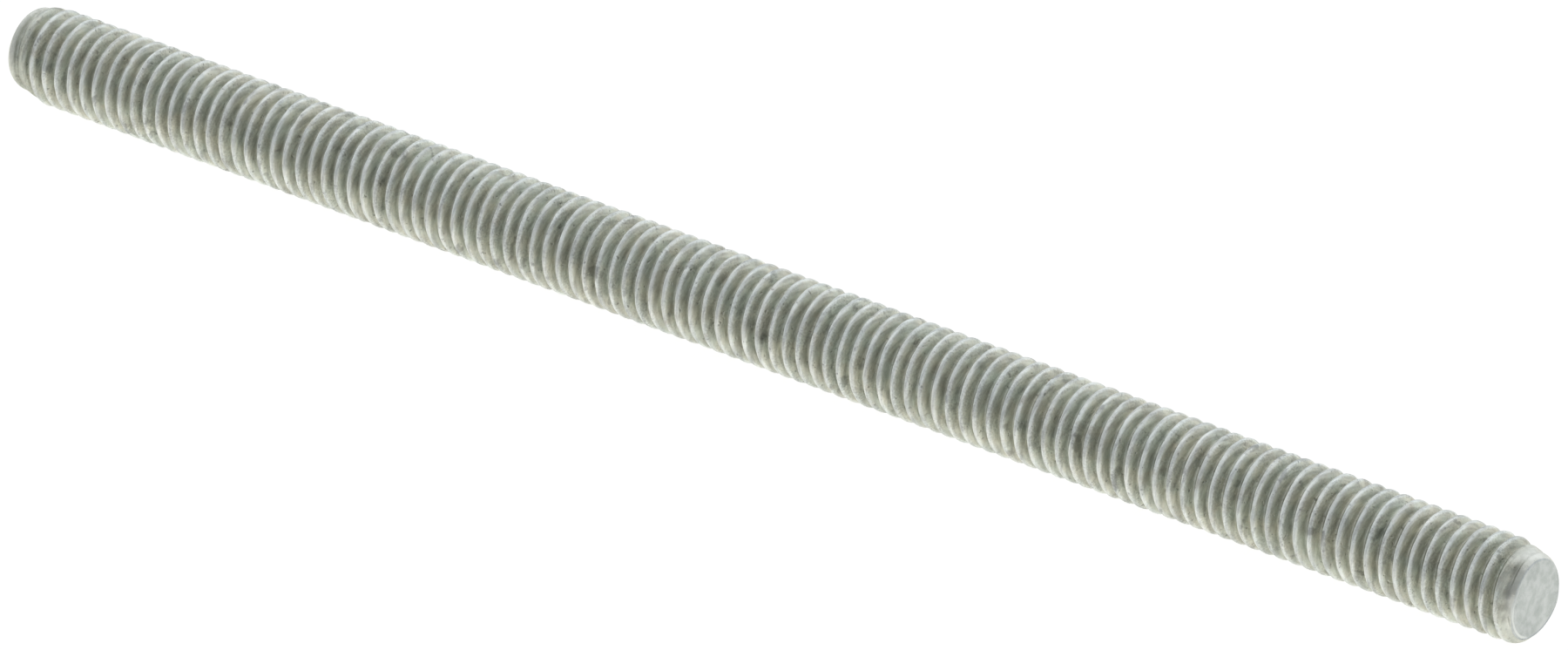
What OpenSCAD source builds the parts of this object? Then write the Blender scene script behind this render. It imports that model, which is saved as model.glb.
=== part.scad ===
// Screw pin: a straight length of steel rod with one right-hand screw thread
// from end to end. Both ends are cut square. A long curved taper draws in the
// last turns, and a round runs over the edge to the flat end face. There is no
// head, slot or plain shank.
// The axis is X, and the middle of the pin is at the origin.

/* [Thread] */
// Diameter over the crests (3/8 inch)
major_d = 9.525; // [8:0.005:12]
// Distance along the axis from one crest to the next (16 to the inch)
pitch = 1.5875; // [1.4:0.0005:1.8]
// Depth of the groove, as a share of the pitch
depth_share = 0.61; // [0.5:0.01:0.64]
// Width of the flat left on top of the crest, as a share of the pitch
crest_share = 0.17; // [0.16:0.01:0.2]
// Angle between the two flanks of the groove
flank_angle = 60; // [50:1:60]
// Where the crest runs out through the +X end, turned about +X from +Y
crest_start = 118; // [0:1:359]

/* [Ends] */
// Length over both ends (7 inches)
pin_l = 177.8; // [80:0.1:190]
// Length of the taper that draws in the last turns, from the end face
taper_l = 3.8; // [1.5:0.1:8]
// How far the taper brings the crests down at the end face
taper_drop = 0.62; // [0.1:0.02:0.9]
// How much the taper curves, where 1 is a straight cone
taper_curve = 1.3; // [1:0.1:2]
// Length of the round at the edge, from the end face
edge_l = 0.9; // [0.1:0.05:1.2]
// How much further the round brings the surface in at the end face
edge_drop = 0.45; // [0.1:0.05:0.6]

/* [Hidden] */
$fn = 96;
// Facets spent on the groove, and how far its cutter clears the crests
groove_facets = 11900;
clearance = 0.01;
// Bands that follow the round at the edge and the taper beyond it
edge_bands = 4;
taper_bands = 3;

crest_r = major_d / 2;
groove_r = crest_r - depth_share * pitch;
half_l = pin_l / 2;

// The groove's cutter starts one pitch before the -X end and stops one pitch
// after the +X end. It is swept in flat steps, each with four sides of two
// triangles.
cut_turns = pin_l / pitch + 2;
cut_steps = floor(groove_facets / 8);

// The middle of a flat step lies nearer the axis than its ends, so the cutter's
// outer corners are raised until even the middle clears the crests.
outer_r = crest_r / cos(180 * cut_turns / cut_steps) + clearance;

// Half the groove's width, at its floor and at the cutter's outer corners.
slope = tan(flank_angle / 2);
crest_half = (1 - crest_share) * pitch / 2;
floor_half = crest_half - (crest_r - groove_r) * slope;
outer_half = crest_half + (outer_r - crest_r) * slope;

// The groove lies half a turn from the crest, so it leaves the +X end opposite
// crest_start, after all but one of its turns.
first_angle = crest_start + 180 - 360 * (cut_turns - 1);

// A point on the groove's helix after some turns, moved along the axis.
function on_helix(turns, along, r) =
    let (a = first_angle + 360 * turns)
    [-half_l + (turns - 1) * pitch + along, r * cos(a), r * sin(a)];

module groove_cutter() {
    corners = [for (i = [0:cut_steps]) let (turns = i * cut_turns / cut_steps) each [
        on_helix(turns, -outer_half, outer_r),
        on_helix(turns, -floor_half, groove_r),
        on_helix(turns, floor_half, groove_r),
        on_helix(turns, outer_half, outer_r)
    ]];
    sides = [for (i = [0:cut_steps - 1], k = [0:3])
        let (a = 4 * i + k, b = 4 * i + (k + 1) % 4)
        each [[b, a, b + 4], [b + 4, a, a + 4]]];
    last = 4 * cut_steps;
    ends = [[0, 1, 2, 3], [last + 3, last + 2, last + 1, last]];
    polyhedron(corners, concat(sides, ends));
}

// How far below the crests the surface lies at a distance from an end face.
function end_drop(d) =
    taper_drop * pow(max(1 - d / taper_l, 0), taper_curve)
    + edge_drop * (1 - sqrt(1 - pow(max(1 - d / edge_l, 0), 2)));

// Distances from an end face at which its bands meet, closest where it is roundest.
band_edges = concat(
    [for (k = [0:edge_bands]) edge_l * (1 - cos(90 * k / edge_bands))],
    [for (k = [1:taper_bands]) edge_l + (taper_l - edge_l) * k / taper_bands]
);

// Half of the rod's profile, from the middle out to the end face.
half_profile = concat(
    [for (k = [len(band_edges) - 1:-1:0]) let (d = band_edges[k])
        [crest_r - end_drop(d), half_l - d]],
    [[0, half_l]]
);

// The rod before the thread is cut: its profile from the axis out, revolved.
module blank() {
    last = len(half_profile) - 1;
    rotate([0, 90, 0])
        rotate_extrude()
            polygon(concat(
                half_profile,
                [for (k = [last:-1:0]) [half_profile[k][0], -half_profile[k][1]]]
            ));
}

module screw_pin() {
    color("#a9b1aa")
        difference() {
            blank();
            groove_cutter();
        }
}

screw_pin();
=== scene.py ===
"""Looks of the screw pin: a fully threaded, dull galvanised steel pin on a pale floor.

Lengths are in metres and angles in radians, unless a comment says otherwise. The
pin lies along X with its middle at the origin, and an angle about it is counted
from +Y towards +Z.
"""

import math
import random

import bmesh
import bpy
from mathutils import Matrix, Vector, noise


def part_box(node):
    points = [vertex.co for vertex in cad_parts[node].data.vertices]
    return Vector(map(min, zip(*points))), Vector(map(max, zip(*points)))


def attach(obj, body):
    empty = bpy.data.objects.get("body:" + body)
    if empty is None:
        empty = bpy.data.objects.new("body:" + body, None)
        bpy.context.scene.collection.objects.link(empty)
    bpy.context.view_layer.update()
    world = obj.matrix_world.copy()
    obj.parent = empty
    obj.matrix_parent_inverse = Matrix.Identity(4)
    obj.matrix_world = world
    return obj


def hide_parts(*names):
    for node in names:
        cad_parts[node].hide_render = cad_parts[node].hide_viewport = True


MM = 0.001

# ---------------------------------------------------------------------- the frame
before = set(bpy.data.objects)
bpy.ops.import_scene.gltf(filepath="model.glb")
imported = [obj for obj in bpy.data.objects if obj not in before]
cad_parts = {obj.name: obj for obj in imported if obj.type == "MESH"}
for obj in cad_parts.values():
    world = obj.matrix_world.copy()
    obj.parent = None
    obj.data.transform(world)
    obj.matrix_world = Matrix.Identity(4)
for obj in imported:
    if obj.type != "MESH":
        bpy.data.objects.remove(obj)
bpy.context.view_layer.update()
low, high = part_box("screw_pin")
HALF_LENGTH = (high[0] - low[0]) / 2
CREST_R = (high[2] - low[2]) / 2
FLOOR_Z = low[2]

# -------------------------------------------------------- sizes, as in the CAD part
PITCH = 1.5875 * MM
GROOVE_DEPTH = 0.61 * PITCH
GROOVE_R = CREST_R - GROOVE_DEPTH
CREST_SHARE = 0.17  # of the pitch, flat on top of the crest
FLANK_SLOPE = math.tan(math.radians(30))
CREST_START = math.radians(118)  # where the crest meets the +X end
TAPER_LENGTH = 3.8 * MM
TAPER_DROP = 0.62 * MM
TAPER_CURVE = 1.3
EDGE_LENGTH = 0.9 * MM
EDGE_DROP = 0.45 * MM

# --------------------------------------------------------------- forms of the ends
# The tapers are a little off the pin's axis: how far, and the angle at which the
# end on each side is drawn in the most.
NOSE_SHIFT = 0.34 * MM
NOSE_ANGLE = {1: math.radians(40), -1: math.radians(-140)}
# Local forms: side, angle, spread of the angle, reach from the end face, and how
# far they bring the surface in (or, below 0, out).
END_FORMS = (
    (1, math.radians(168), math.radians(30), 0.80 * MM, 0.65 * MM),
    (1, math.radians(238), math.radians(18), 0.45 * MM, -0.20 * MM),
    (1, math.radians(-48), math.radians(24), 1.30 * MM, -0.22 * MM),
    (-1, math.radians(56), math.radians(25), 3.00 * MM, 0.16 * MM),
    (-1, math.radians(160), math.radians(45), 1.00 * MM, -0.45 * MM),
)
# Where zinc has filled the last of the groove: side, angle, spread, reach.
FILLED = (1, math.radians(72), math.radians(34), 1.9 * MM)
FILL_BELOW = 0.10 * MM  # what is left of the groove's depth there
SOFT_TURN = 0.05 * MM  # rounds the line where the taper runs into the thread
SOFT_REACH = 4 * SOFT_TURN  # the thread is left alone this far below the taper
FACE_DIP = 0.03 * MM  # mean hollow of a cut end face
FACE_DIP_SIZE = 2.2 * MM

# ------------------------------------------------------------------------- the wear
# The thread wanders along the pin in waves, each (size, share), which fade out
# before the ends.
WAVER = 0.07 * MM
WAVER_WAVES = ((1.5 * MM, 0.6), (0.6 * MM, 0.4))
WAVER_STOP = 0.5 * MM  # from the end face
WAVER_FADE = 1.0 * MM
# The zinc's thickness has slow and quick lumps.
COAT_DIP = 0.012 * MM
SLOW_SIZE, SLOW_HEIGHT = 5.5 * MM, 0.03 * MM
QUICK_SIZE, QUICK_HEIGHT = 1.3 * MM, 0.02 * MM
QUICK_SHIFT = Vector((7, 3, 1))
# Small dents lie along the crests.
NICK_SEED = 7
NICK_COUNT = 70
NICK_OFF_CREST = 0.25  # at most, either way
NICK_REACH = (0.35 * MM, 0.9 * MM)
NICK_DEPTH = (0.04 * MM, 0.14 * MM)

# ---------------------------------------------------------- how finely it is made
STEPS_PER_TURN = 56
SPARE_TURNS = 2  # past the ends, to be cut off
# Places across one pitch, from a crest (0) to the next (1), close together where
# the zinc rounds the crest and the root.
HALF_PROFILE = (0.05, 0.095, 0.15, 0.25, 0.35, 0.42)
PROFILE = (0.0, *HALF_PROFILE, 0.5, *(1 - v for v in reversed(HALF_PROFILE)))
COAT_ROUNDING = 0.05  # of the pitch, either side of a corner
ROUNDING_SAMPLES = 9
EDGE_CUT = 0.25 * MM  # the thread's own mesh ends this far from the end face
EDGE_RINGS = 5
FACE_RINGS = (0.93, 0.8, 0.62, 0.42, 0.2)  # shares of the face's radius
RIM_MERGE = 0.03 * MM  # vertices on the cut that are nearer than this become one
ON_CUT = 1e-6
EXACT = 1e-9


def sharp_depth(v):
    """Depth of the straight-sided groove at phase v of the pitch; 0 is a crest."""
    from_crest = min(v % 1, 1 - v % 1)
    down = (from_crest - CREST_SHARE / 2) * PITCH / FLANK_SLOPE
    return min(max(down, 0.0), GROOVE_DEPTH)


def groove_depth(v):
    """The same groove with its corners rounded by the zinc coat."""
    last = ROUNDING_SAMPLES - 1
    offsets = ((2 * k / last - 1) * COAT_ROUNDING for k in range(ROUNDING_SAMPLES))
    return sum(sharp_depth(v + offset) for offset in offsets) / ROUNDING_SAMPLES


PROFILE_DEPTHS = [groove_depth(v) for v in PROFILE]


def groove_at(x, angle):
    """Depth of the groove below the crest at this place on the pin."""
    return groove_depth((x - HALF_LENGTH) / PITCH - (angle - CREST_START) / math.tau)


def crest_angle(x):
    """Angle at which the crest passes x."""
    return CREST_START + (x - HALF_LENGTH) / PITCH * math.tau


def turned(angle, other):
    """How far angle lies from other, from -pi to pi."""
    return (angle - other + math.pi) % math.tau - math.pi


def pin_point(x, angle, r):
    return Vector((x, r * math.cos(angle), r * math.sin(angle)))


def envelope(x, angle):
    """Largest radius at x: the crest, drawn in at the ends by taper and rounded edge."""
    from_end = HALF_LENGTH - abs(x)
    if from_end >= TAPER_LENGTH:
        return CREST_R
    local = 0.0
    for side, middle, spread, reach, amount in END_FORMS:
        if side * x > 0 and from_end < reach:
            bell = math.exp(-0.5 * (turned(angle, middle) / spread) ** 2)
            local += amount * bell * (1 - (from_end / reach) ** 4)
    taper = TAPER_DROP * (1 - from_end / TAPER_LENGTH) ** TAPER_CURVE
    share = min(max(1 - from_end / EDGE_LENGTH, 0.0), 1.0)
    edge = EDGE_DROP * (1 - math.sqrt(1 - share * share))
    lean = math.cos(angle - NOSE_ANGLE[1 if x > 0 else -1])
    shift = NOSE_SHIFT * (1 - (from_end / TAPER_LENGTH) ** 2) * lean
    return CREST_R - max(taper + edge + shift + local, 0.0)


# ------------------------------------------------------------------- wear and tear
def make_nicks():
    """Small dents, each (place along the pin, angle, reach, depth)."""
    rng = random.Random(NICK_SEED)
    nicks = []
    for _ in range(NICK_COUNT):
        x = rng.uniform(-HALF_LENGTH, HALF_LENGTH)
        angle = crest_angle(x) + rng.uniform(-NICK_OFF_CREST, NICK_OFF_CREST)
        nicks.append((x, angle, rng.uniform(*NICK_REACH), rng.uniform(*NICK_DEPTH)))
    return nicks


NICKS = make_nicks()


def nick_depth(x, angle):
    total = 0.0
    for nick_x, nick_angle, reach, depth in NICKS:
        if abs(nick_x - x) < reach:
            away = math.hypot(nick_x - x, turned(nick_angle, angle) * CREST_R) / reach
            if away < 1:
                total += depth * (1 - away * away) ** 2
    return total


def coat_lumps(p):
    """How far the zinc stands below its thickest here."""
    slow = SLOW_HEIGHT * noise.noise(p / SLOW_SIZE)
    quick = QUICK_HEIGHT * noise.noise(p / QUICK_SIZE + QUICK_SHIFT)
    return max(COAT_DIP - slow - quick, 0.0)


def thread_waver(x, angle):
    """How far the thread is moved along the pin here."""
    p = pin_point(x, angle, CREST_R)
    from_end = HALF_LENGTH - abs(x)
    fade = min(max((from_end - WAVER_STOP) / WAVER_FADE, 0.0), 1.0)
    waves = sum(share * noise.noise(p / size) for size, share in WAVER_WAVES)
    return WAVER * fade * waves


def face_hollow(p):
    """Unevenness of a cut end face, as a depth below the plane of the cut."""
    return FACE_DIP * (1 + noise.noise(p / FACE_DIP_SIZE))


# ------------------------------------------------------------------- the pin's mesh
def filled_radius(x, angle, r, limit):
    """The thread's radius r, raised where zinc has filled the last of the groove."""
    side, middle, spread, reach = FILLED
    from_end = HALF_LENGTH - side * x
    bed = limit - FILL_BELOW
    if from_end >= reach or r >= bed:
        return r
    share = math.exp(-((turned(angle, middle) / spread) ** 4))
    share *= min(2 - 2 * from_end / reach, 1)
    return r + share * (bed - r)


def soft_minimum(r, limit):
    """The smaller of two radii, with no crease where one takes over from the other."""
    gap = r - limit
    if gap <= -SOFT_REACH:
        return r
    return limit + (gap - math.sqrt(gap * gap + SOFT_TURN * SOFT_TURN)) / 2


def surface_radius(x, angle, thread_r):
    """Radius of the finished surface where the thread alone would be at thread_r."""
    limit = envelope(x, angle)
    r = soft_minimum(filled_radius(x, angle, thread_r, limit), limit)
    return r - coat_lumps(pin_point(x, angle, r)) - nick_depth(x, angle)


def helix_grid(bm):
    """The thread: a strip of rows wound round the pin and joined to itself a turn on."""
    turns = math.ceil(2 * HALF_LENGTH / PITCH) + SPARE_TURNS
    rows = []
    for i in range(turns * STEPS_PER_TURN + 1):
        turn = i / STEPS_PER_TURN
        angle = CREST_START + turn * math.tau
        row = []
        for v, depth in zip(PROFILE, PROFILE_DEPTHS):
            x = (turn - turns + 1 + v) * PITCH + HALF_LENGTH
            x += thread_waver(x, angle)
            r = surface_radius(x, angle, CREST_R - depth)
            row.append(bm.verts.new(pin_point(x, angle, r)))
        rows.append(row)
    for i in range(len(rows) - 1):
        row, ahead = rows[i], rows[i + 1]
        for j in range(len(PROFILE) - 1):
            bm.faces.new((row[j], row[j + 1], ahead[j + 1], ahead[j]))
        if i + STEPS_PER_TURN + 1 < len(rows):
            over, over_ahead = rows[i + STEPS_PER_TURN], rows[i + STEPS_PER_TURN + 1]
            bm.faces.new((row[-1], over[0], over_ahead[0], ahead[-1]))


def cut_at(bm, x):
    """Cuts off what lies past x, away from the middle."""
    bmesh.ops.bisect_plane(
        bm,
        geom=bm.verts[:] + bm.edges[:] + bm.faces[:],
        plane_co=(x, 0, 0),
        plane_no=(math.copysign(1, x), 0, 0),
        clear_outer=True,
        dist=EXACT,
    )


def angle_of(vertex):
    return math.atan2(vertex.co.z, vertex.co.y)


def rim_at(bm, x):
    """The rim left by the cut at x, in order round the axis."""

    def on_rim():
        return [v for v in bm.verts if v.is_boundary and abs(v.co.x - x) < ON_CUT]

    bmesh.ops.remove_doubles(bm, verts=on_rim(), dist=RIM_MERGE)
    return sorted(on_rim(), key=angle_of)


def close_end(bm, side):
    """Carries the surface over the rounded edge and fills the end face."""
    start = side * (HALF_LENGTH - EDGE_CUT)
    cut_at(bm, start)
    rim = rim_at(bm, start)
    around = [angle_of(v) for v in rim]

    def ring(x, share=1.0):
        made = []
        for angle in around:
            r = surface_radius(x, angle, CREST_R - groove_at(x, angle)) * share
            p = pin_point(x, angle, r)
            inward = face_hollow(p) if abs(x) >= HALF_LENGTH - EXACT else 0.0
            made.append(bm.verts.new(p - Vector((side * inward, 0, 0))))
        return made

    rings = [rim]
    first = math.asin(1 - EDGE_CUT / EDGE_LENGTH)
    for k in range(1, EDGE_RINGS + 1):
        bend = first + k / EDGE_RINGS * (math.pi / 2 - first)
        rings.append(ring(side * (HALF_LENGTH - EDGE_LENGTH * (1 - math.sin(bend)))))
    for share in FACE_RINGS:
        rings.append(ring(side * HALF_LENGTH, share))
    centre = bm.verts.new((side * HALF_LENGTH, 0, 0))
    count = len(rim)
    for inner, outer in zip(rings[1:], rings):
        for k in range(count):
            n = (k + 1) % count
            bm.faces.new((outer[k], outer[n], inner[n], inner[k]))
    for k in range(count):
        bm.faces.new((rings[-1][k], rings[-1][(k + 1) % count], centre))


def make_pin():
    bm = bmesh.new()
    helix_grid(bm)
    for side in (-1, 1):
        close_end(bm, side)
    bmesh.ops.recalc_face_normals(bm, faces=bm.faces)
    mesh = bpy.data.meshes.new("threaded_pin_surface")
    bm.to_mesh(mesh)
    bm.free()
    mesh.shade_smooth()
    pin = bpy.data.objects.new("threaded_pin", mesh)
    bpy.context.scene.collection.objects.link(pin)
    return pin


# ---------------------------------------------------------------- the zinc's values
def rgb(r, g, b):
    return (r, g, b, 1.0)


# Each pair is mixed: the first three by a slow change of hue, and the last two by
# cloudy stains.
# Flank and root are darker than the crest partly as the zinc's own duller olive, and
# partly as painted shade down in the groove.
CREST_COLOURS = rgb(0.802, 0.818, 0.775), rgb(0.776, 0.820, 0.792)
FLANK_COLOURS = rgb(0.610, 0.606, 0.515), rgb(0.577, 0.611, 0.537)
ROOT_COLOURS = rgb(0.512, 0.508, 0.421), rgb(0.478, 0.514, 0.445)
# Pale colours painted round the ends and over the filled groove, as painted reflected
# light.
PAINTED_END_LIGHT_COLOURS = rgb(0.77, 0.79, 0.73), rgb(0.93, 0.94, 0.88)
FACE_COLOURS = rgb(0.52, 0.56, 0.54), rgb(0.64, 0.67, 0.66)
RUST_COLOUR = rgb(0.53, 0.49, 0.39)
RIM_HIGHLIGHT_COLOUR = rgb(0.84, 0.87, 0.84)

# Depths below the crest over which its colour gives way to the flank's, the depth
# from which the flank's gives way to the root's, and how uneven these lines are.
CREST_TO_FLANK = (0.05 * MM, 0.34 * MM)
ROOT_FROM = 0.3 * MM
UNEVEN = 0.14 * MM

# The noises, each shifted so that no two are alike; a stretch below 1 draws one out
# along the thread.
CLOUD = dict(size=3.0 * MM, detail=3)
GRAIN = dict(size=0.20 * MM, detail=2, shift=3.1, rough=0.6)
BLOTCH = dict(size=0.9 * MM, detail=4, shift=6.1, stretch=(1, 0.5, 0.5))
STREAK = dict(size=0.20 * MM, detail=3, shift=1.7, stretch=(1, 0.08, 0.08))
HUE = dict(size=3.0 * MM, detail=5, shift=9.4, rough=0.75)
PIT = dict(size=0.42 * MM, detail=2, shift=5.2)
STAIN = dict(size=1.5 * MM, detail=5, shift=14.3, rough=0.6, stretch=(1, 0.6, 0.6))
RUST = dict(size=2.3 * MM, detail=3, shift=21.8)
SMUDGE = dict(size=1.0 * MM, detail=4, shift=12.0, rough=0.6)

# What is read from each noise: its range, and what it gives at that range's ends
# where that isn't 0 and 1.
TINT = (0.34, 0.66)
CLOUDY = (0.35, 0.65)
MATT = (0.42, 0.62)
RUST_SHARE = (0.62, 0.75, 0.0, 0.45)
GRAIN_TONE = (0.3, 0.7, -1.0, 1.0)
GRAIN_SWING = (0.0, 1.0, 0.04, 0.12)  # read from MATT
STREAK_TONE = (0.3, 0.7, -0.17, 0.17)
BLOTCH_TONE = (0.3, 0.7, 1.10, 0.88)
PIT_TONE = (0.66, 0.76, 1.0, 0.6)
STAIN_TONE = (0.60, 0.68, 1.0, 0.66)
ROUGHNESS = (0.3, 0.7, 0.36, 0.50)
GRAIN_HEIGHT = (0.0, 1.0, 0.5, 1.0)  # read from MATT
STREAK_HEIGHT = 0.6
PIT_HOLLOW = (0.64, 0.74)
BUMP_STRENGTH = 0.6
BUMP_DISTANCE = 0.06 * MM
METALLIC = 0.92

# Zones at the ends: where they start and are full, from the end face, and how
# much they then cover.
# The first two zones hold painted reflected light, the third the cut faces' own colour,
# and the last a painted highlight on the rim.
PAINTED_END_LIGHT_ZONE = (1.2 * MM, 0.3 * MM, 0.75)
FILL_ZONE = (2.4 * MM, 1.0 * MM, 0.95)
FACE_ZONE = (0.16 * MM, 0.08 * MM, 1.0)
RIM_HIGHLIGHT_ZONE = (0.5 * MM, 0.3 * MM, 1.0)
FILL_SIDE = (0.55, 0.8)  # shares of the radius, towards the angle of FILLED

# A painted highlight along part of the +X end's rim: the middle and radius of its arc,
# the angle at the middle of its length, its half-width with its strength there and
# outside, and how far it reaches round, in shares of the radius.
RIM_HIGHLIGHT_CENTRE = pin_point(0, math.radians(260), 0.35 * MM)
RIM_HIGHLIGHT_R = 3.5 * MM
RIM_HIGHLIGHT_ANGLE = math.radians(205)
RIM_HIGHLIGHT_WIDTH = (0.05 * MM, 0.18 * MM, 0.9, 0.0)
RIM_HIGHLIGHT_SIDE = (0.44, 0.68)

# Single dark marks: place along the pin in mm, angle in degrees, distance from
# the axis and size in mm, and the tone at the centre.
MARKS = (
    (88.2, 122, 3.8, 1.2, 0.76),
    (88.4, 145, 3.8, 1.3, 0.66),
    (88.0, 157, 3.9, 0.8, 0.72),
    (88.0, 173, 4.0, 0.8, 0.68),
    (88.0, 190, 4.0, 0.7, 0.74),
    (86.8, 80, 4.5, 0.6, 0.70),
    (84.7, 75, 4.5, 0.6, 0.75),
    (3.6, 174, 4.1, 1.1, 0.58),
    (2.0, 162, 4.1, 0.9, 0.65),
    (0.3, 156, 4.1, 0.5, 0.65),
    (-2.4, 114, 4.2, 0.8, 0.72),
    (-2.9, 125, 4.2, 0.8, 0.75),
    (-2.8, 79, 4.6, 0.6, 0.72),
    (-83.7, 163, 4.3, 0.8, 0.62),
    (-48.6, 134, 4.2, 0.7, 0.68),
    (-42.3, 155, 4.2, 0.7, 0.68),
    (-32.7, 92, 4.5, 0.7, 0.68),
    (-41.1, 115, 4.3, 0.7, 0.68),
    (-21.8, 202, 4.3, 0.7, 0.68),
    (27.3, 112, 4.3, 0.7, 0.68),
    (34.0, 165, 4.2, 0.7, 0.68),
    (35.3, 184, 4.1, 0.7, 0.68),
    (49.8, 160, 4.1, 0.7, 0.68),
    (34.9, 108, 4.2, 0.7, 0.68),
    (32.3, 79, 4.6, 0.7, 0.68),
)
MARK_RAG = 0.6 * MM  # how far a mark's edge is moved to and fro
MARK_RAG_SIZE = 0.5 * MM
MARK_CORE = 0.2  # of a mark's size, at its full tone


class Graph:
    """Short calls for building a node tree."""

    GIVES_NUMBER = ("DISTANCE", "DOT_PRODUCT", "LENGTH")  # among vector operations

    def __init__(self, tree):
        self.tree = tree
        tree.nodes.clear()

    def add(self, kind, inputs=(), **settings):
        """A node; each input is given a number, a colour, a vector or a socket."""
        node = self.tree.nodes.new(kind)
        for name, value in settings.items():
            setattr(node, name, value)
        for key, value in dict(inputs).items():
            if isinstance(value, bpy.types.NodeSocket):
                self.tree.links.new(value, node.inputs[key])
            else:
                node.inputs[key].default_value = value
        return node

    def math(self, operation, *values):
        node = self.add("ShaderNodeMath", enumerate(values), operation=operation)
        return node.outputs[0]

    def vector(self, operation, *values):
        node = self.add("ShaderNodeVectorMath", enumerate(values), operation=operation)
        return node.outputs["Value" if operation in self.GIVES_NUMBER else "Vector"]

    def scaled(self, colour, share):
        inputs = {0: colour, "Scale": share}
        return self.add("ShaderNodeVectorMath", inputs, operation="SCALE").outputs[0]

    def ramp(self, value, start, end, at_start=0.0, at_end=1.0, smooth=True):
        """From at_start to at_end while value goes from start to end."""
        return self.add(
            "ShaderNodeMapRange",
            {
                "Value": value,
                "From Min": start,
                "From Max": end,
                "To Min": at_start,
                "To Max": at_end,
            },
            interpolation_type="SMOOTHSTEP" if smooth else "LINEAR",
        ).outputs["Result"]

    def towards_end(self, place, start, full, amount):
        """0 to amount towards an end, between two distances from the end face."""
        return self.ramp(place, HALF_LENGTH - start, HALF_LENGTH - full, 0.0, amount)

    def beside(self, across, angle, start, end):
        """0 to 1 towards an angle, between two shares of the radius on that side."""
        reach = self.vector("DOT_PRODUCT", across, pin_point(0, angle, 1))
        return self.ramp(reach, start * CREST_R, end * CREST_R)

    def noise(self, where, size, detail, shift=0.0, rough=0.5, stretch=(1, 1, 1)):
        """Noise from 0 to 1 whose features are about size across."""
        moved = self.add(
            "ShaderNodeMapping",
            {"Vector": where, "Scale": stretch, "Location": (shift, shift, shift)},
        ).outputs[0]
        return self.add(
            "ShaderNodeTexNoise",
            {"Vector": moved, "Scale": 1 / size, "Detail": detail, "Roughness": rough},
        ).outputs["Fac"]

    def mix(self, share, a, b):
        inputs = {0: share, 6: a, 7: b}
        return self.add("ShaderNodeMix", inputs, data_type="RGBA").outputs[2]


# -------------------------------------------------------------- the zinc's material
def marks(g, where):
    """Tone of the single dark marks: 1 away from them, with ragged edges."""
    jitter = g.add("ShaderNodeTexNoise", {"Vector": where, "Scale": 1 / MARK_RAG_SIZE})
    ragged = g.vector("MULTIPLY_ADD", jitter.outputs["Color"], [MARK_RAG] * 3, where)
    mean_move = Vector([MARK_RAG / 2] * 3)
    tone = 1.0
    for x, angle, r, size, dark in MARKS:
        centre = pin_point(x * MM, math.radians(angle), r * MM) + mean_move
        away = g.vector("DISTANCE", ragged, centre)
        mark = g.ramp(away, MARK_CORE * size * MM, size * MM, dark, 1.0)
        tone = g.math("MULTIPLY", tone, mark)
    return tone


def rim_highlight_share(g, x, across):
    """How much the painted highlight along part of the +X end's rim covers."""
    off_centre = g.vector("DISTANCE", across, RIM_HIGHLIGHT_CENTRE)
    off_highlight = g.math("ABSOLUTE", g.math("SUBTRACT", off_centre, RIM_HIGHLIGHT_R))
    share = g.ramp(off_highlight, *RIM_HIGHLIGHT_WIDTH)
    share = g.math("MULTIPLY", share, g.towards_end(x, *RIM_HIGHLIGHT_ZONE))
    return g.math("MULTIPLY", share, g.beside(across, RIM_HIGHLIGHT_ANGLE, *RIM_HIGHLIGHT_SIDE))


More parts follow.
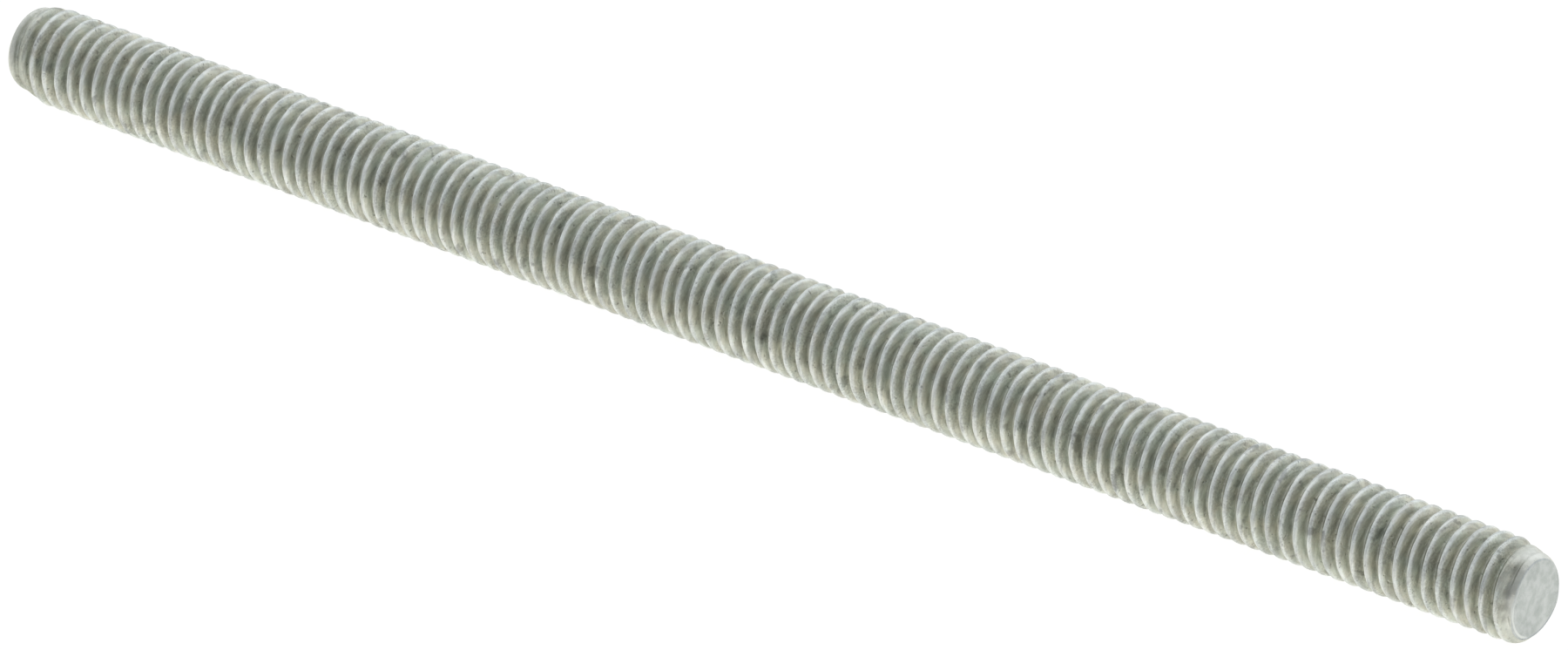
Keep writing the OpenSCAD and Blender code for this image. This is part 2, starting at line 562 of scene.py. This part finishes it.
def galvanised():
    """Dull zinc: light on the crests, darker and more olive down in the groove."""
    material = bpy.data.materials.new("galvanised_zinc")
    material.use_nodes = True
    g = Graph(material.node_tree)
    where = g.add("ShaderNodeTexCoord").outputs["Object"]
    across = g.vector("MULTIPLY", where, (0, 1, 1))
    radius = g.vector("LENGTH", across)
    x, y, z = g.add("ShaderNodeSeparateXYZ", {0: where}).outputs
    along = g.math("ABSOLUTE", x)
    # Places wound back by the helix, so that a stretched noise runs along the
    # thread; they jump where the pin meets the floor.
    turn = g.math("ARCTAN2", g.math("MULTIPLY", y, -1.0), z)
    unwound = g.math("MULTIPLY_ADD", turn, PITCH / math.tau, x)
    threadwise = g.add("ShaderNodeCombineXYZ", {0: unwound, 1: y, 2: z}).outputs[0]

    cloud = g.noise(where, **CLOUD)
    grain = g.noise(where, **GRAIN)
    blotch = g.noise(threadwise, **BLOTCH)
    streak = g.noise(threadwise, **STREAK)
    hue = g.noise(where, **HUE)
    pit = g.noise(where, **PIT)
    stain = g.noise(threadwise, **STAIN)
    rust = g.noise(where, **RUST)
    smudge = g.noise(where, **SMUDGE)

    # The colour goes by how deep in the groove a place is; its darkening towards the root
    # is partly painted shade.
    lowered = g.math("ADD", radius, -UNEVEN / 2)
    uneven = g.math("MULTIPLY_ADD", grain, UNEVEN, lowered)
    off_crest = g.ramp(uneven, *(CREST_R - depth for depth in CREST_TO_FLANK))
    deep = g.ramp(uneven, CREST_R - ROOT_FROM, GROOVE_R)
    tint = g.ramp(hue, *TINT)
    crest, flank, root = (
        g.mix(tint, *pair) for pair in (CREST_COLOURS, FLANK_COLOURS, ROOT_COLOURS)
    )
    colour = g.mix(off_crest, crest, g.mix(deep, flank, root))
    colour = g.mix(g.ramp(rust, *RUST_SHARE), colour, RUST_COLOUR)

    # Matt, grainy patches lie among smoother ones.
    matt = g.ramp(cloud, *MATT)
    tone = g.math("MULTIPLY", g.ramp(grain, *GRAIN_TONE), g.ramp(matt, *GRAIN_SWING))
    tone = g.math("ADD", tone, g.ramp(streak, *STREAK_TONE))
    tone = g.math("ADD", tone, g.ramp(blotch, *BLOTCH_TONE))
    tone = g.math("MULTIPLY", tone, g.ramp(pit, *PIT_TONE))
    tone = g.math("MULTIPLY", tone, g.ramp(stain, *STAIN_TONE))
    colour = g.scaled(colour, tone)

    # Painted reflected light: the colour is made palest round the ends and over the zinc
    # that fills the last of the groove.
    cloudy = g.ramp(smudge, *CLOUDY)
    over_fill = g.beside(across, FILLED[1], *FILL_SIDE)
    over_fill = g.math("MULTIPLY", g.towards_end(x, *FILL_ZONE), over_fill)
    painted_end_light = g.math("MAXIMUM", g.towards_end(along, *PAINTED_END_LIGHT_ZONE), over_fill)
    colour = g.mix(painted_end_light, colour, g.mix(cloudy, *PAINTED_END_LIGHT_COLOURS))
    colour = g.scaled(colour, marks(g, where))

    # The cut end faces are a little bluer, with cloudy stains.
    colour = g.mix(g.towards_end(along, *FACE_ZONE), colour, g.mix(cloudy, *FACE_COLOURS))
    # A painted highlight along part of the +X end's rim.
    colour = g.mix(rim_highlight_share(g, x, across), colour, RIM_HIGHLIGHT_COLOUR)

    height = g.math("MULTIPLY", grain, g.ramp(matt, *GRAIN_HEIGHT))
    height = g.math("MULTIPLY_ADD", streak, STREAK_HEIGHT, height)
    height = g.math("SUBTRACT", height, g.ramp(pit, *PIT_HOLLOW))
    bump = g.add(
        "ShaderNodeBump",
        {"Strength": BUMP_STRENGTH, "Distance": BUMP_DISTANCE, "Height": height},
    ).outputs[0]
    shader = g.add(
        "ShaderNodeBsdfPrincipled",
        {
            "Base Color": colour,
            "Metallic": METALLIC,
            "Roughness": g.ramp(cloud, *ROUGHNESS),
            "Normal": bump,
        },
    )
    g.add("ShaderNodeOutputMaterial", {"Surface": shader.outputs[0]})
    return material


# ---------------------------------------------------------------- stage and light
WHITE = rgb(1, 1, 1)
FLOOR_SIZE = 6.0
FLOOR_COLOUR = rgb(0.42, 0.42, 0.41)
FLOOR_LIFT = 0.89  # its own light where it is seen, which brings it to white
FLOOR_TINT = rgb(0.995, 0.985, 0.95)  # of the light that metal takes from it
# Between these places in front of the pin that light goes down to FRONT_LIFT.
FRONT_Y = (-0.004, -0.030)
FRONT_LIFT = 0.43
WORLD_LIGHT = 0.5
SKY_TINT = rgb(0.943, 0.969, 1.0)
# The sky is dimmer along -X, and it is open, and so dimmer still, on one side.
BACK_FROM, BACK_TO, BACK_LEVEL = -0.1, -0.7, 0.72
OPEN_SIDE = (0.546, -0.696, 0.466)
OPEN_FROM, OPEN_TO = -0.15, 0.56  # cosine of the angle to that side
OPEN_LEVEL = 0.62
LAMP_PLACE = (-0.1, 0.2, 1.0)
LAMP_SIZE = 1.6
LAMP_POWER = 1.0  # watts


def ray_kinds(g):
    """1 for what the camera sees, and 1 for what a mirror or glass shows."""
    path = g.add("ShaderNodeLightPath").outputs
    shown = g.math("MAXIMUM", path["Is Glossy Ray"], path["Is Transmission Ray"])
    return path["Is Camera Ray"], shown


def white_floor():
    """Matt floor, lifted to white where it is seen but keeping the pin's shadow."""
    material = bpy.data.materials.new("floor_white")
    material.use_nodes = True
    g = Graph(material.node_tree)
    camera_ray, shown = ray_kinds(g)
    matt = g.add("ShaderNodeBsdfDiffuse", {"Color": FLOOR_COLOUR})
    # What metal takes from the floor is dimmer in front of the pin.
    place = g.add("ShaderNodeNewGeometry").outputs["Position"]
    y = g.add("ShaderNodeSeparateXYZ", {0: place}).outputs["Y"]
    mirrored = g.math("MULTIPLY", shown, g.ramp(y, *FRONT_Y, FLOOR_LIFT, FRONT_LIFT))
    seen = g.math("MULTIPLY", camera_ray, FLOOR_LIFT)
    lift = g.add(
        "ShaderNodeEmission",
        {
            "Color": g.mix(shown, WHITE, FLOOR_TINT),
            "Strength": g.math("MAXIMUM", seen, mirrored),
        },
    )
    both = g.add("ShaderNodeAddShader", {0: matt.outputs[0], 1: lift.outputs[0]})
    g.add("ShaderNodeOutputMaterial", {"Surface": both.outputs[0]})
    return material


def make_world():
    """White for the camera, and for the pin a soft, slightly blue sky."""
    world = bpy.data.worlds.new("studio")
    world.use_nodes = True
    bpy.context.scene.world = world
    g = Graph(world.node_tree)
    camera_ray, shown = ray_kinds(g)
    where = g.add("ShaderNodeTexCoord").outputs["Generated"]
    to_open = g.vector("DOT_PRODUCT", where, OPEN_SIDE)
    opened = g.ramp(to_open, OPEN_FROM, OPEN_TO, 1.0, OPEN_LEVEL, smooth=False)
    x = g.add("ShaderNodeSeparateXYZ", {0: where}).outputs["X"]
    dim = g.ramp(x, BACK_FROM, BACK_TO, 1.0, BACK_LEVEL, smooth=False)
    back = g.ramp(x, BACK_TO, -1.0, 0.0, 1 - BACK_LEVEL, smooth=False)
    level = g.math("MULTIPLY", opened, g.math("ADD", dim, back))
    light = g.ramp(shown, 0, 1, WORLD_LIGHT, 1.0, smooth=False)
    background = g.add(
        "ShaderNodeBackground",
        {
            "Color": g.mix(camera_ray, SKY_TINT, WHITE),
            "Strength": g.math("MAXIMUM", camera_ray, g.math("MULTIPLY", level, light)),
        },
    )
    g.add("ShaderNodeOutputWorld", {"Surface": background.outputs[0]})


def make_floor():
    half = FLOOR_SIZE / 2
    corners = ((-half, -half), (half, -half), (half, half), (-half, half))
    mesh = bpy.data.meshes.new("floor")
    mesh.from_pydata([(x, y, FLOOR_Z) for x, y in corners], [], [(0, 1, 2, 3)])
    floor = bpy.data.objects.new("floor", mesh)
    floor.data.materials.append(white_floor())
    bpy.context.scene.collection.objects.link(floor)


def turn_to(thing, direction):
    """Turns a lamp or camera to look along direction, with its top up."""
    thing.rotation_mode = "QUATERNION"
    thing.rotation_quaternion = direction.to_track_quat("-Z", "Y")


def make_light():
    """A soft square lamp overhead that faces the pin."""
    light = bpy.data.lights.new("overhead", "AREA")
    light.shape = "SQUARE"
    light.size = LAMP_SIZE
    light.energy = LAMP_POWER
    lamp = bpy.data.objects.new("overhead", light)
    lamp.location = LAMP_PLACE
    turn_to(lamp, -Vector(LAMP_PLACE))
    bpy.context.scene.collection.objects.link(lamp)


# ------------------------------------------------------------------------ the camera
AZIMUTH = math.radians(38.13)
ELEVATION = math.radians(27.75)
SENSOR_WIDTH = 36.0  # mm
LENS = 325.75  # mm
DISTANCE = 1.322
CLIP = (0.05, 20.0)
# Where the pin's middle falls in the picture, right of and below its centre.
MIDDLE_RIGHT = -2.407 * MM
MIDDLE_DOWN = -1.125 * MM


def make_camera():
    right = Vector((math.cos(AZIMUTH), math.sin(AZIMUTH), 0))
    back = Vector((
        math.sin(AZIMUTH) * math.cos(ELEVATION),
        -math.cos(AZIMUTH) * math.cos(ELEVATION),
        math.sin(ELEVATION),
    ))
    up = back.cross(right)
    data = bpy.data.cameras.new("camera")
    data.sensor_width = SENSOR_WIDTH
    data.lens = LENS
    data.clip_start, data.clip_end = CLIP
    camera = bpy.data.objects.new("camera", data)
    camera.location = back * DISTANCE - right * MIDDLE_RIGHT + up * MIDDLE_DOWN
    turn_to(camera, -back)
    bpy.context.scene.collection.objects.link(camera)
    bpy.context.scene.camera = camera


# ------------------------------------------------------------------------- the scene
pin = make_pin()
pin.data.materials.append(galvanised())
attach(pin, "root")
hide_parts("screw_pin")
make_world()
make_floor()
make_light()
make_camera()
bpy.context.scene.view_settings.view_transform = "Standard"
